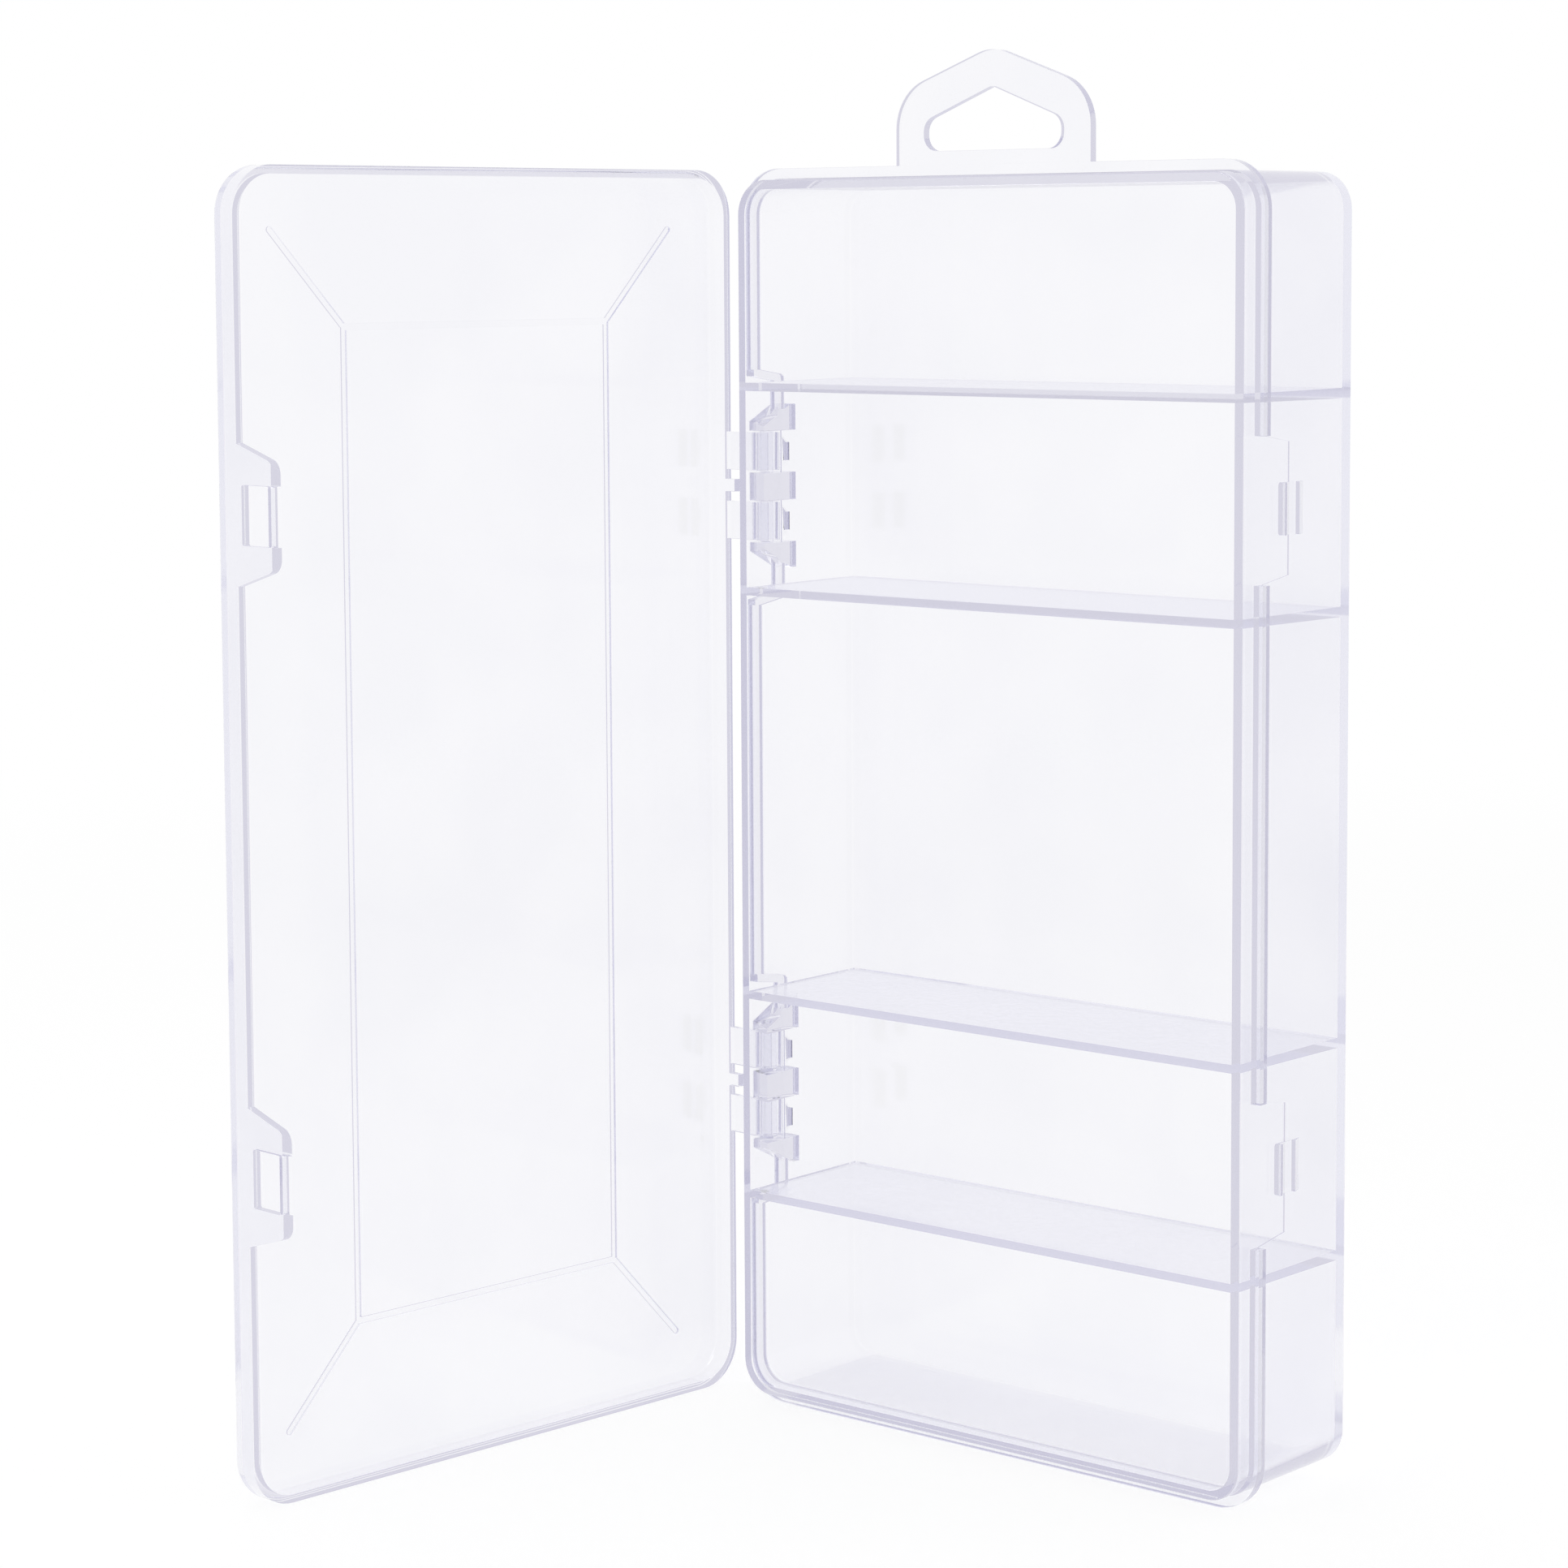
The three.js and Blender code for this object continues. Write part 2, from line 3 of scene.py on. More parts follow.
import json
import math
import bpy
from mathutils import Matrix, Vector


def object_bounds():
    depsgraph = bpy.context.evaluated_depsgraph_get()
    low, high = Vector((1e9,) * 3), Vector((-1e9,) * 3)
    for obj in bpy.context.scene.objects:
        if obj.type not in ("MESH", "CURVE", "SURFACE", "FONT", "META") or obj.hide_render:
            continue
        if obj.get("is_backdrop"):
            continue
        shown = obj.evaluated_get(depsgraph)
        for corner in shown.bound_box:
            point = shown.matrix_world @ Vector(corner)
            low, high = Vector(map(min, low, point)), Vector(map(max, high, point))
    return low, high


bl_info = {
    "name": "Clear Small Parts Box",
    "version": (1, 0, 0),
    "blender": (4, 5, 0),
    "location": "3D View > Sidebar > Parts Box",
    "description": "Clear moulded plastic for a divided parts box and its lid, with a white studio",
    "category": "Object",
}

import bmesh
import bpy
from mathutils import Quaternion, Vector

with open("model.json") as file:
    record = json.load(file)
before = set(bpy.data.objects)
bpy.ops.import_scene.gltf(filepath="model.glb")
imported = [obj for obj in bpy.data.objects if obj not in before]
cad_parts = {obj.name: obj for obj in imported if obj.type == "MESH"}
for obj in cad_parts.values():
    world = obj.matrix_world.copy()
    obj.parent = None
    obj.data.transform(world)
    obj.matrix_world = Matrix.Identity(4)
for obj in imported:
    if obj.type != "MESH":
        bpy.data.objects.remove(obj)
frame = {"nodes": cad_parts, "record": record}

MM = 0.001
IMAGE_SIZE = 1932
WELD_DISTANCE = 0.002 * MM
CREASE_ANGLE = math.radians(32)
FACE_SIZE_WEIGHT = 100  # 50 is neutral, and at 100 the large faces set the shading
NOISE_RANGE = (0.35, 0.65)  # where most of a noise's values lie
ALONG_AN_AXIS = 0.9  # least share of a face's normal along the axis that it looks along
THINNEST_WALL = 0.85  # of the large walls' thickness
ON_A_FACE = 0.1  # of the large walls' thickness, either way
SENSOR_WIDTH = 36  # in millimetres, as the lens is
CLIP_START = 10 * MM

# Lamps, in lengths of the box's diagonal from its middle
LAMP_SIZE = 3
KEY_PLACE = Vector((-1.5, -4, 5))
FILL_PLACE = Vector((5, -2, 2))

HINGE = frame["record"]["behaviour"]["joints"][0]


class PlasticSettings(bpy.types.PropertyGroup):
    """Clear moulded plastic, as the tray and the lid have it."""

    tint: bpy.props.FloatVectorProperty(
        name="Tint",
        description="Colour that a wall lets through",
        subtype="COLOR",
        size=3,
        min=0,
        max=1,
        default=(0.948, 0.947, 0.973),
    )
    clouded_tint: bpy.props.FloatVectorProperty(
        name="Clouded tint",
        description="Colour of the faintly cloudy patches in a wall",
        subtype="COLOR",
        size=3,
        min=0,
        max=1,
        default=(0.926, 0.926, 0.958),
    )
    depth_colour: bpy.props.FloatVectorProperty(
        name="Depth colour",
        description="Colour that the plastic takes on over its depth",
        subtype="COLOR",
        size=3,
        min=0,
        max=1,
        default=(0.65, 0.64, 0.77),
    )
    edge_tint: bpy.props.FloatVectorProperty(
        name="Edge tint",
        description="Colour of light that has run along inside a wall before it leaves",
        subtype="COLOR",
        size=3,
        min=0,
        max=1,
        default=(0.69, 0.68, 0.77),
    )
    shadow_tint: bpy.props.FloatVectorProperty(
        name="Shadow tint",
        description="Colour of the light that each surface lets through into the shadow",
        subtype="COLOR",
        size=3,
        min=0,
        max=1,
        default=(0.93, 0.93, 0.955),
    )
    wall_depth: bpy.props.FloatProperty(
        name="Wall depth",
        description="Longest way straight through a wall, up to which the plastic stays clear",
        subtype="DISTANCE",
        unit="LENGTH",
        min=0,
        default=1.9 * MM,
    )
    edge_depth: bpy.props.FloatProperty(
        name="Edge depth",
        description="Way through the plastic at which the deep tint shows in full",
        subtype="DISTANCE",
        unit="LENGTH",
        min=MM,
        default=4.5 * MM,
    )
    deep_tint: bpy.props.FloatVectorProperty(
        name="Deep tint",
        description="Colour of light that has come a long way straight through the plastic",
        subtype="COLOR",
        size=3,
        min=0,
        max=1,
        default=(0.64, 0.63, 0.73),
    )
    corner_tint: bpy.props.FloatVectorProperty(
        name="Corner tint",
        description="Colour of light that has run along inside the large flat wall behind a corner",
        subtype="COLOR",
        size=3,
        min=0,
        max=1,
        default=(0.94, 0.94, 0.965),
    )
    # Painted shade: a darker tint on the catches and the flange's edge on the latch side, where the
    # clear plastic looks grey
    raised_painted_shade: bpy.props.FloatVectorProperty(
        name="Raised painted shade",
        description="Painted shade on the faces that stand out on the latch side, as the catches do",
        subtype="COLOR",
        size=3,
        min=0,
        max=1,
        default=(0.82, 0.815, 0.85),
    )
    divider_tint: bpy.props.FloatVectorProperty(
        name="Divider tint",
        description="Colour of light that has run along inside a divider before it leaves",
        subtype="COLOR",
        size=3,
        min=0,
        max=1,
        default=(0.79, 0.785, 0.86),
    )
    divider_span: bpy.props.FloatProperty(
        name="Divider span",
        description="Distance from the middle of the box within which all dividers lie",
        subtype="DISTANCE",
        unit="LENGTH",
        min=0,
        default=62 * MM,
    )
    raised_height: bpy.props.FloatProperty(
        name="Raised height",
        description="How far inside the flange's edge a face still stands out from the wall",
        subtype="DISTANCE",
        unit="LENGTH",
        min=0,
        default=1.1 * MM,
    )
    catch_height: bpy.props.FloatProperty(
        name="Catch height",
        description="Height of each catch's middle above or below the middle of the box",
        subtype="DISTANCE",
        unit="LENGTH",
        min=0,
        default=43.75 * MM,
    )
    catch_length: bpy.props.FloatProperty(
        name="Catch length",
        description="Length of each catch, up along the box",
        subtype="DISTANCE",
        unit="LENGTH",
        min=0,
        default=7 * MM,
    )
    catch_back: bpy.props.FloatProperty(
        name="Catch back",
        description="How far behind the middle of the flange the catches end",
        subtype="DISTANCE",
        unit="LENGTH",
        min=0,
        default=6.87 * MM,
    )
    catch_foot: bpy.props.FloatProperty(
        name="Catch foot",
        description="How far inside the flange's edge the catches start from the wall",
        subtype="DISTANCE",
        unit="LENGTH",
        min=0,
        default=1.35 * MM,
    )
    wall: bpy.props.FloatProperty(
        name="Wall",
        description="Thickness of the large flat walls",
        subtype="DISTANCE",
        unit="LENGTH",
        min=0,
        default=1.3 * MM,
    )
    depth_density: bpy.props.FloatProperty(
        name="Depth density",
        description="How soon the depth colour shows, per metre of plastic",
        min=0,
        default=5.0,
    )
    ior: bpy.props.FloatProperty(
        name="Refractive index",
        description="Refractive index of the clear plastic",
        min=1,
        default=1.49,
    )
    smooth_roughness: bpy.props.FloatProperty(
        name="Smoothest roughness",
        description="Roughness of the best polished parts of the mould",
        subtype="FACTOR",
        min=0,
        max=1,
        default=0.05,
    )
    worn_roughness: bpy.props.FloatProperty(
        name="Dullest roughness",
        description="Roughness of the dullest parts of the mould",
        subtype="FACTOR",
        min=0,
        max=1,
        default=0.1,
    )
    reflections: bpy.props.IntProperty(
        name="Reflections",
        description="How often light is thrown back inside a wall before it leaves by the edge",
        min=0,
        default=0,
    )
    crossings: bpy.props.IntProperty(
        name="Crossings",
        description="How many surfaces bend light before the rest of them let it pass straight",
        min=1,
        default=7,
    )
    cloud_size: bpy.props.FloatProperty(
        name="Cloud size",
        description="Size of the cloudy patches",
        subtype="DISTANCE",
        unit="LENGTH",
        min=MM,
        default=22 * MM,
    )
    grain_size: bpy.props.FloatProperty(
        name="Grain size",
        description="Size of the finest mottle in the surface",
        subtype="DISTANCE",
        unit="LENGTH",
        min=0.01 * MM,
        default=0.9 * MM,
    )
    ripple_height: bpy.props.FloatProperty(
        name="Ripple height",
        description="Height of the slight flow ripples in the walls",
        subtype="DISTANCE",
        unit="LENGTH",
        min=0,
        default=0.012 * MM,
    )


class StudioSettings(bpy.types.PropertyGroup):
    """White floor, soft light and camera."""

    floor_colour: bpy.props.FloatVectorProperty(
        name="Floor colour",
        description="Colour of the floor",
        subtype="COLOR",
        size=3,
        min=0,
        max=1,
        default=(0.97, 0.97, 0.97),
    )
    floor_size: bpy.props.FloatProperty(
        name="Floor size",
        description="Length of the square floor's sides",
        subtype="DISTANCE",
        unit="LENGTH",
        default=4.0,
    )
    floor_gap: bpy.props.FloatProperty(
        name="Floor gap",
        description="Hair of air between the floor and the plastic that stands on it",
        subtype="DISTANCE",
        unit="LENGTH",
        min=0,
        default=0.05 * MM,
    )
    floor_glow: bpy.props.FloatProperty(
        name="Floor whiteness",
        description="Share of plain white in the floor as the camera sees it, beside its shadow",
        subtype="FACTOR",
        min=0,
        max=1,
        default=0.8,
    )
    shadow_reach: bpy.props.FloatProperty(
        name="Shadow reach",
        description="Distance from the box up to which the floor shows the soft shadow in full",
        subtype="DISTANCE",
        unit="LENGTH",
        min=MM,
        default=0.4,
    )
    ambient: bpy.props.FloatProperty(
        name="Ambient light",
        description="Strength of the light from all sides",
        min=0,
        default=0.8,
    )
    key_power: bpy.props.FloatProperty(
        name="Key light",
        description="Power of the large soft lamp above the camera's left",
        subtype="POWER",
        unit="POWER",
        default=8.0,
    )
    fill_power: bpy.props.FloatProperty(
        name="Fill light",
        description="Power of the soft lamp on the right",
        subtype="POWER",
        unit="POWER",
        default=3.0,
    )
    camera_place: bpy.props.FloatVectorProperty(
        name="Camera place",
        description="Where the camera stands",
        subtype="TRANSLATION",
        unit="LENGTH",
        size=3,
        default=(0.3401, -0.43529, 0.1668),
    )
    camera_aim: bpy.props.FloatVectorProperty(
        name="Camera aim",
        description="Direction that the camera looks in",
        subtype="XYZ",
        size=3,
        default=(-0.65287, 0.75177, -0.09277),
    )
    camera_roll: bpy.props.FloatProperty(
        name="Camera roll",
        description="Turn of the camera about its aim",
        subtype="ANGLE",
        unit="ROTATION",
        default=math.radians(-0.304),
    )
    lens: bpy.props.FloatProperty(
        name="Lens",
        description="Focal length, for a sensor 36 mm wide",
        subtype="DISTANCE_CAMERA",
        unit="CAMERA",
        default=93.07,
    )
    optical_centre: bpy.props.FloatProperty(
        name="Optical centre",
        description="Height of the lens's axis in the picture, in pixels from the top",
        subtype="PIXEL",
        default=773,
    )


def new_material(name):
    """An empty node material with its output, ready to be wired."""
    material = bpy.data.materials.new(name)
    material.use_nodes = True
    nodes = material.node_tree.nodes
    nodes.clear()
    return material, nodes, material.node_tree.links, nodes.new("ShaderNodeOutputMaterial")


def noise(nodes, links, place, size, detail=2.0):
    """Noise with features of the given size, in the part's own space."""
    texture = nodes.new("ShaderNodeTexNoise")
    texture.inputs["Scale"].default_value = 1 / size
    texture.inputs["Detail"].default_value = detail
    links.new(place.outputs["Object"], texture.inputs["Vector"])
    return texture.outputs["Fac"]


def spread(nodes, links, value, low, high):
    """Stretches the middle of a noise to run from low to high."""
    mapping = nodes.new("ShaderNodeMapRange")
    mapping.inputs["From Min"].default_value = NOISE_RANGE[0]
    mapping.inputs["From Max"].default_value = NOISE_RANGE[1]
    mapping.inputs["To Min"].default_value = low
    mapping.inputs["To Max"].default_value = high
    links.new(value, mapping.inputs["Value"])
    return mapping.outputs["Result"]


def combine(nodes, links, operation, first, second=0):
    """The result of a sum with one or two values, each a socket or a number."""
    maths = nodes.new("ShaderNodeMath")
    maths.operation = operation
    for socket, value in zip(maths.inputs, (first, second)):
        if isinstance(value, (int, float)):
            socket.default_value = value
        else:
            links.new(value, socket)
    return maths.outputs["Value"]


def within(nodes, links, value, centre, reach):
    """1 where a value lies within reach of a centre."""
    test = nodes.new("ShaderNodeMath")
    test.operation = "COMPARE"
    links.new(value, test.inputs[0])
    test.inputs[1].default_value = centre
    test.inputs[2].default_value = reach
    return test.outputs["Value"]


def long_inside(nodes, links, path, plastic):
    """1 for light that has turned too often inside the plastic, which then passes straight on."""
    times = path.outputs["Glossy Depth"]
    thrown_back = combine(nodes, links, "GREATER_THAN", times, plastic.reflections)
    bent = combine(nodes, links, "GREATER_THAN", path.outputs["Ray Depth"], plastic.crossings)
    return combine(nodes, links, "MAXIMUM", thrown_back, bent)


def long_way(nodes, links, path, inside, shortest, longest):
    """0 for light that leaves straight through a wall, rising to 1 after a long way inside."""
    way = nodes.new("ShaderNodeMapRange")
    way.interpolation_type = "SMOOTHSTEP"
    way.inputs["From Min"].default_value = shortest
    way.inputs["From Max"].default_value = longest
    links.new(path.outputs["Ray Length"], way.inputs["Value"])
    return combine(nodes, links, "MULTIPLY", inside, way.outputs["Result"])


def leaves_edge(nodes, links, path, inside, lost, plastic):
    """1 where light that was thrown back first leaves a wall that it ran along."""
    first = combine(nodes, links, "LESS_THAN", path.outputs["Transparent Depth"], 1)
    thinnest = THINNEST_WALL * plastic.wall
    middle = (thinnest + plastic.wall_depth) / 2
    spare = (plastic.wall_depth - thinnest) / 2
    crossed = within(nodes, links, path.outputs["Ray Length"], middle, spare)
    along = combine(nodes, links, "MAXIMUM", combine(nodes, links, "SUBTRACT", inside, crossed))
    return combine(nodes, links, "MULTIPLY", lost, combine(nodes, links, "MULTIPLY", along, first))


def in_flat_wall(nodes, links, place, path, node, outward, plastic):
    """1 where light that ran along a moulding's large flat wall meets that wall's inner face."""
    outermost = max(vertex.co.dot(outward) for vertex in node.data.vertices)
    reach = nodes.new("ShaderNodeVectorMath")
    reach.operation = "DOT_PRODUCT"
    reach.inputs[1].default_value = outward
    links.new(place.outputs["Object"], reach.inputs[0])
    inner_face = outermost - plastic.wall
    on_face = within(nodes, links, reach.outputs["Value"], inner_face, ON_A_FACE * plastic.wall)
    along = combine(nodes, links, "GREATER_THAN", path.outputs["Ray Length"], plastic.wall_depth)
    return combine(nodes, links, "MULTIPLY", on_face, along)


def components(nodes, links, vector):
    """The X, Y and Z of a vector."""
    parts = nodes.new("ShaderNodeSeparateXYZ")
    links.new(vector, parts.inputs["Vector"])
    return parts.outputs


def from_middle(nodes, links, point):
    """Distance above or below the middle of the box, at whose height the hinge's axis is given."""
    height = combine(nodes, links, "SUBTRACT", point["Z"], HINGE["pos_m"][2])
    return combine(nodes, links, "ABSOLUTE", height)


def on_divider(nodes, links, place, plastic):
    """1 on the faces that look up or down between the ends of the box, where the dividers are."""
    normal = components(nodes, links, place.outputs["Normal"])
    slope = combine(nodes, links, "ABSOLUTE", normal["Z"])
    level = combine(nodes, links, "GREATER_THAN", slope, ALONG_AN_AXIS)
    distance = from_middle(nodes, links, components(nodes, links, place.outputs["Object"]))
    between = combine(nodes, links, "LESS_THAN", distance, plastic.divider_span)
    return combine(nodes, links, "MULTIPLY", level, between)


def on_catch(nodes, links, point, outermost, plastic):
    """1 on the two catches, from their foot on the side wall outwards."""
    distance = from_middle(nodes, links, point)
    level = within(nodes, links, distance, plastic.catch_height, plastic.catch_length / 2)
    before = combine(nodes, links, "LESS_THAN", point["Y"], plastic.catch_back)
    out = combine(nodes, links, "GREATER_THAN", point["X"], outermost - plastic.catch_foot)
    return combine(nodes, links, "MULTIPLY", level, combine(nodes, links, "MULTIPLY", before, out))


def on_raised_face(nodes, links, place, node, plastic):
    """1 on the catches and on the flange's edge, where these look out on the latch side and get the
    painted shade.
    """
    outermost = max(vertex.co.x for vertex in node.data.vertices)
    point = components(nodes, links, place.outputs["Object"])
    normal = components(nodes, links, place.outputs["Normal"])
    out = combine(nodes, links, "GREATER_THAN", point["X"], outermost - plastic.raised_height)
    catch = on_catch(nodes, links, point, outermost, plastic)
    raised = combine(nodes, links, "MAXIMUM", out, catch)
    facing = combine(nodes, links, "GREATER_THAN", normal["X"], ALONG_AN_AXIS)
    return combine(nodes, links, "MULTIPLY", raised, facing)


def colour_mix(nodes, links, factor, first, second):
    """Mixes two colours, each a socket or a plain colour."""
    mix = nodes.new("ShaderNodeMix")
    mix.data_type = "RGBA"
    for name, colour in (("A", first), ("B", second)):
        if isinstance(colour, bpy.types.NodeSocket):
            links.new(colour, mix.inputs[name])
        else:
            mix.inputs[name].default_value = (*colour, 1)
    links.new(factor, mix.inputs["Factor"])
    return mix.outputs["Result"]


def clear_plastic(name, plastic, node, outward, raised):
    """Clear plastic with faint clouds, a slight mottle and lavender edges, and, where raised is
    set, a painted shade on the faces that stand out on the latch side.
    """
    material, nodes, links, output = new_material(name)
    place = nodes.new("ShaderNodeTexCoord")
    clouds = spread(nodes, links, noise(nodes, links, place, plastic.cloud_size), 0, 1)
    mottle = noise(nodes, links, place, plastic.grain_size, detail=4)
    ripples = noise(nodes, links, place, plastic.cloud_size / 2)

    path = nodes.new("ShaderNodeLightPath")
    inside = nodes.new("ShaderNodeNewGeometry").outputs["Backfacing"]
    tint_and_painted_shade = colour_mix(nodes, links, clouds, plastic.tint, plastic.clouded_tint)
    if raised:
        # painted shade: the catches and the flange's latch-side edge darken the light let through
        # them
        standing_out = on_raised_face(nodes, links, place, node, plastic)
        tint_and_painted_shade = colour_mix(nodes, links, standing_out, tint_and_painted_shade, plastic.raised_painted_shade)
    along = long_way(nodes, links, path, inside, plastic.wall_depth, plastic.edge_depth)

    bump = nodes.new("ShaderNodeBump")
    bump.inputs["Distance"].default_value = plastic.ripple_height
    links.new(ripples, bump.inputs["Height"])

    surface = nodes.new("ShaderNodeBsdfPrincipled")
    surface.inputs["IOR"].default_value = plastic.ior
    surface.inputs["Transmission Weight"].default_value = 1
    colour = colour_mix(nodes, links, along, tint_and_painted_shade, plastic.deep_tint)
    links.new(colour, surface.inputs["Base Color"])
    roughness = spread(nodes, links, mottle, plastic.smooth_roughness, plastic.worn_roughness)
    links.new(roughness, surface.inputs["Roughness"])
    links.new(bump.outputs["Normal"], surface.inputs["Normal"])

    lost = long_inside(nodes, links, path, plastic)
    corner = in_flat_wall(nodes, links, place, path, node, outward, plastic)
    divider = on_divider(nodes, links, place, plastic)
    edge_tint = colour_mix(nodes, links, divider, plastic.edge_tint, plastic.divider_tint)
    edge_tint = colour_mix(nodes, links, corner, edge_tint, plastic.corner_tint)
    leaving = leaves_edge(nodes, links, path, inside, lost, plastic)
    let_through = colour_mix(nodes, links, leaving, plastic.tint, edge_tint)
    shadow = path.outputs["Is Shadow Ray"]
    let_through = colour_mix(nodes, links, shadow, let_through, plastic.shadow_tint)
    straight = nodes.new("ShaderNodeBsdfTransparent")
    links.new(let_through, straight.inputs["Color"])
    mix = nodes.new("ShaderNodeMixShader")
    links.new(combine(nodes, links, "MAXIMUM", shadow, lost), mix.inputs["Fac"])
    links.new(surface.outputs["BSDF"], mix.inputs[1])
    links.new(straight.outputs["BSDF"], mix.inputs[2])
    links.new(mix.outputs["Shader"], output.inputs["Surface"])

    depth = nodes.new("ShaderNodeVolumeAbsorption")
    depth.inputs["Color"].default_value = (*plastic.depth_colour, 1)
    depth.inputs["Density"].default_value = plastic.depth_density
    links.new(depth.outputs["Volume"], output.inputs["Volume"])
    return material


def smooth_rounded_faces(node):
    """Shades a moulding's rounded edges smoothly, with its vertices left alone."""
    mesh = node.data
    custom = mesh.attributes.get("custom_normal")
    if custom:
        mesh.attributes.remove(custom)
    mesh.polygons.foreach_set("use_smooth", [True] * len(mesh.polygons))
    sharp = mesh.attributes.get("sharp_edge")
    if sharp:
        mesh.attributes.remove(sharp)
    weld = node.modifiers.new("Join faces", "WELD")
    weld.merge_threshold = WELD_DISTANCE
    crease = node.modifiers.new("Crisp edges", "EDGE_SPLIT")
    crease.split_angle = CREASE_ANGLE
    crease.use_edge_sharp = False
    even = node.modifiers.new("Flat walls", "WEIGHTED_NORMAL")
    even.keep_sharp = True
    even.weight = FACE_SIZE_WEIGHT


def dress(node, name, plastic, outward, raised=False):
    """Gives a moulding its plastic.

    Its large flat wall is on its outward side, and raised is for the one with the catches, whose
    outward faces get a painted shade.
    """
    smooth_rounded_faces(node)
    node.material_slots[0].material = clear_plastic(name, plastic, node, outward, raised)


def lid_outward():
    """Direction that the lid's panel faces at rest, open by the hinge's upper limit."""
    return Quaternion((0, 0, 1), -math.radians(HINGE["range_deg"][1])) @ Vector((0, -1, 0))


class PARTSBOX_OT_dress_tray(bpy.types.Operator):
    """Give the tray its clear plastic"""

    bl_idname = "partsbox.dress_tray"
    bl_label = "Dress Tray"
    bl_options = {"REGISTER", "UNDO"}

    def execute(self, context):
        plastic = context.scene.partsbox_plastic
        dress(frame["nodes"]["tray"], "Tray plastic", plastic, Vector((0, 1, 0)), raised=True)
        return {"FINISHED"}


class PARTSBOX_OT_dress_lid(bpy.types.Operator):
    """Give the lid its clear plastic"""

    bl_idname = "partsbox.dress_lid"
    bl_label = "Dress Lid"
    bl_options = {"REGISTER", "UNDO"}

    def execute(self, context):
        dress(frame["nodes"]["lid"], "Lid plastic", context.scene.partsbox_plastic, lid_outward())
        return {"FINISHED"}


def white_to_the_eye(nodes, links):
    """1 for what the camera sees, straight or by glass and gloss, and 0 for what lights the box."""
    path = nodes.new("ShaderNodeLightPath")
    seen = path.outputs["Is Camera Ray"]
    for other in ("Is Glossy Ray", "Is Transmission Ray"):
        seen = combine(nodes, links, "MAXIMUM", seen, path.outputs[other])
    return seen


def light_world(world, studio):
    """White to the camera, and softer as light."""
    world.use_nodes = True
    nodes = world.node_tree.nodes
    links = world.node_tree.links
    nodes.clear()
    output = nodes.new("ShaderNodeOutputWorld")
    background = nodes.new("ShaderNodeBackground")
    background.inputs["Color"].default_value = (1, 1, 1, 1)
    strength = nodes.new("ShaderNodeMapRange")
    strength.inputs["To Min"].default_value = studio.ambient
    strength.inputs["To Max"].default_value = 1
    links.new(white_to_the_eye(nodes, links), strength.inputs["Value"])
    links.new(strength.outputs["Result"], background.inputs["Strength"])
    links.new(background.outputs["Background"], output.inputs["Surface"])


def far_from_box(nodes, links, near, far):
    """0 on the floor near the box, and 1 far out."""
    place = nodes.new("ShaderNodeTexCoord")
    distance = nodes.new("ShaderNodeVectorMath")
    distance.operation = "LENGTH"
    links.new(place.outputs["Object"], distance.inputs["Vector"])
    fade = nodes.new("ShaderNodeMapRange")
    fade.interpolation_type = "SMOOTHSTEP"
    fade.inputs["From Min"].default_value = near
    fade.inputs["From Max"].default_value = far
    links.new(distance.outputs["Value"], fade.inputs["Value"])
    return fade.outputs["Result"]


def floor_material(studio):
    """A matt white floor that keeps a soft shadow near the box and is plain white far out."""
    material, nodes, links, output = new_material("White floor")
    matt = nodes.new("ShaderNodeBsdfDiffuse")
    matt.inputs["Color"].default_value = (*studio.floor_colour, 1)
    white = nodes.new("ShaderNodeEmission")
    whiteness = nodes.new("ShaderNodeMapRange")
    whiteness.inputs["To Min"].default_value = studio.floor_glow
    whiteness.inputs["To Max"].default_value = 1
    far = far_from_box(nodes, links, studio.shadow_reach, 2 * studio.shadow_reach)
    links.new(far, whiteness.inputs["Value"])
    seen = white_to_the_eye(nodes, links)
    share = combine(nodes, links, "MULTIPLY", seen, whiteness.outputs["Result"])
    mix = nodes.new("ShaderNodeMixShader")
    links.new(share, mix.inputs["Fac"])
    links.new(matt.outputs["BSDF"], mix.inputs[1])
    links.new(white.outputs["Emission"], mix.inputs[2])
    links.new(mix.outputs["Shader"], output.inputs["Surface"])
    return material


def make_floor(studio):
    """A square floor under the box."""
    mesh = bpy.data.meshes.new("Floor")
    shape = bmesh.new()
    bmesh.ops.create_grid(shape, x_segments=1, y_segments=1, size=studio.floor_size / 2)
    shape.to_mesh(mesh)
    shape.free()
    mesh.materials.append(floor_material(studio))
    floor = bpy.data.objects.new("Floor", mesh)
    floor.location.z = -studio.floor_gap
    bpy.context.scene.collection.objects.link(floor)
    floor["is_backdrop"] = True


def soft_lamp(name, power, size, place, target):
    """A square lamp that faces the box."""
    data = bpy.data.lights.new(name, "AREA")
    data.energy = power
    data.size = size
    lamp = bpy.data.objects.new(name, data)
    lamp.location = place
    lamp.rotation_mode = "QUATERNION"
    lamp.rotation_quaternion = (target - place).to_track_quat("-Z", "Y")
    bpy.context.scene.collection.objects.link(lamp)


class PARTSBOX_OT_set_studio(bpy.types.Operator):
    """Set the floor, the lamps and the white surroundings"""

    bl_idname = "partsbox.set_studio"
    bl_label = "Set Studio"
    bl_options = {"REGISTER", "UNDO"}

    def execute(self, context):
        scene = context.scene
        studio = scene.partsbox_studio
        make_floor(studio)
        low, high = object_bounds()
        middle = (low + high) / 2
        reach = (high - low).length
        for name, power, place in (
            ("Key", studio.key_power, KEY_PLACE),
            ("Fill", studio.fill_power, FILL_PLACE),
        ):
            soft_lamp(name, power, LAMP_SIZE * reach, middle + reach * place, middle)
        scene.world = bpy.data.worlds.new("White studio")
        light_world(scene.world, studio)
        scene.view_settings.view_transform = "Standard"
        return {"FINISHED"}


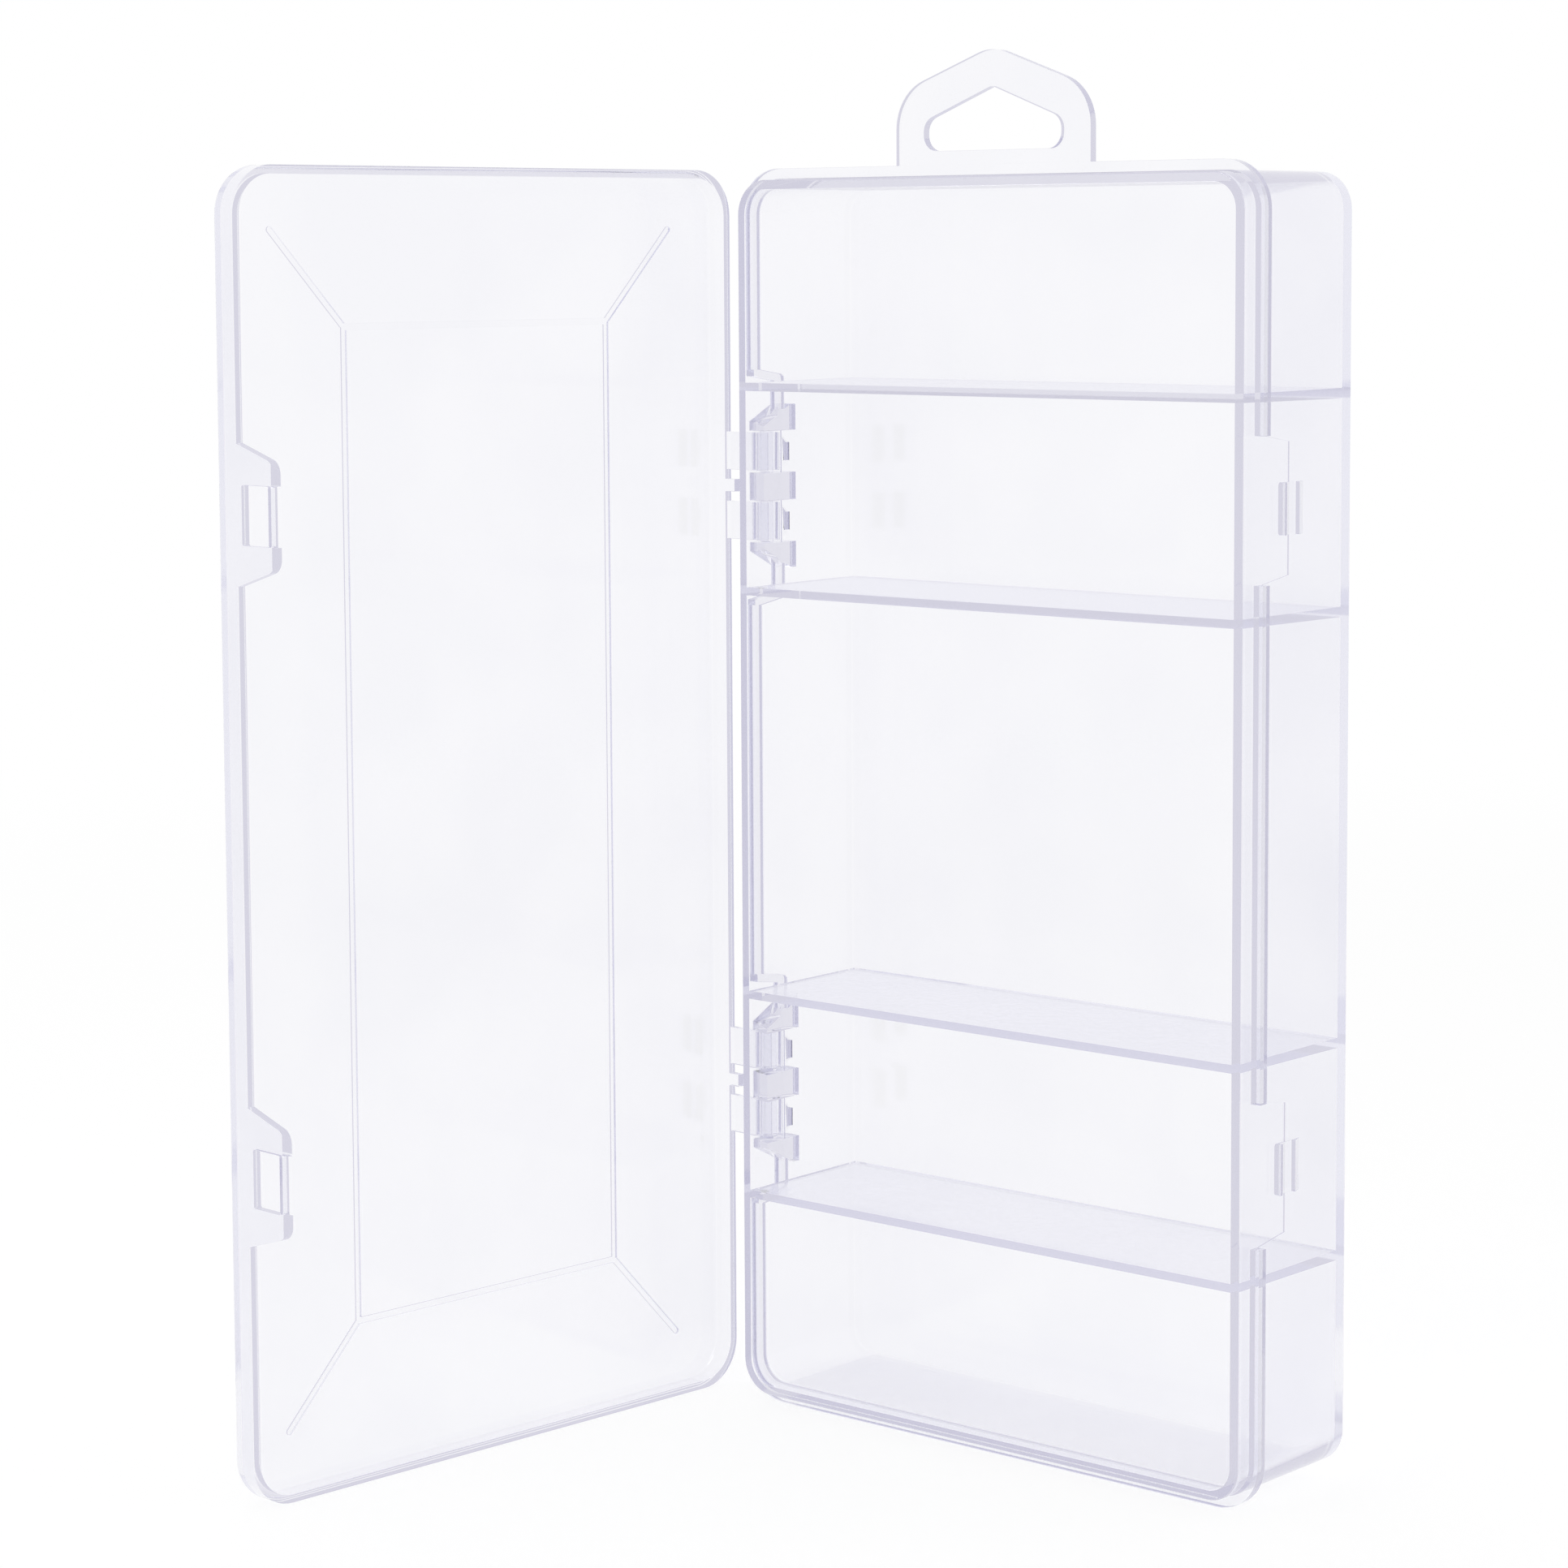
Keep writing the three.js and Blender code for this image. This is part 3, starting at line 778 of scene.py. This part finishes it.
class PARTSBOX_OT_place_camera(bpy.types.Operator):
    """Place the camera to the right of the open box"""

    bl_idname = "partsbox.place_camera"
    bl_label = "Place Camera"
    bl_options = {"REGISTER", "UNDO"}

    def execute(self, context):
        scene = context.scene
        studio = scene.partsbox_studio
        data = bpy.data.cameras.new("Camera")
        data.sensor_width = SENSOR_WIDTH
        data.lens = studio.lens
        data.shift_y = (studio.optical_centre - IMAGE_SIZE / 2) / IMAGE_SIZE
        data.clip_start = CLIP_START
        camera = bpy.data.objects.new("Camera", data)
        camera.location = studio.camera_place
        camera.rotation_mode = "QUATERNION"
        aim = Vector(studio.camera_aim).to_track_quat("-Z", "Y")
        camera.rotation_quaternion = aim @ Quaternion((0, 0, 1), studio.camera_roll)
        scene.collection.objects.link(camera)
        scene.camera = camera
        return {"FINISHED"}


class PARTSBOX_PT_panel(bpy.types.Panel):
    """Steps and settings of the parts box"""

    bl_idname = "PARTSBOX_PT_panel"
    bl_label = "Parts Box"
    bl_space_type = "VIEW_3D"
    bl_region_type = "UI"
    bl_category = "Parts Box"

    def draw(self, context):
        for operator in OPERATORS:
            self.layout.operator(operator.bl_idname)
        for settings in (context.scene.partsbox_plastic, context.scene.partsbox_studio):
            box = self.layout.box()
            for name in settings.bl_rna.properties.keys():
                if name not in ("rna_type", "name"):
                    box.prop(settings, name)


SETTINGS = (PlasticSettings, StudioSettings)
OPERATORS = (
    PARTSBOX_OT_dress_tray,
    PARTSBOX_OT_dress_lid,
    PARTSBOX_OT_set_studio,
    PARTSBOX_OT_place_camera,
)


def register():
    for cls in (*SETTINGS, *OPERATORS, PARTSBOX_PT_panel):
        bpy.utils.register_class(cls)
    bpy.types.Scene.partsbox_plastic = bpy.props.PointerProperty(type=PlasticSettings)
    bpy.types.Scene.partsbox_studio = bpy.props.PointerProperty(type=StudioSettings)


def unregister():
    del bpy.types.Scene.partsbox_studio
    del bpy.types.Scene.partsbox_plastic
    for cls in reversed((*SETTINGS, *OPERATORS, PARTSBOX_PT_panel)):
        bpy.utils.unregister_class(cls)


def main():
    """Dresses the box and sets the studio."""
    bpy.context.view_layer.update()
    register()
    bpy.ops.partsbox.dress_tray()
    bpy.ops.partsbox.dress_lid()
    bpy.ops.partsbox.set_studio()
    bpy.ops.partsbox.place_camera()


if __name__ == "__main__":
    main()
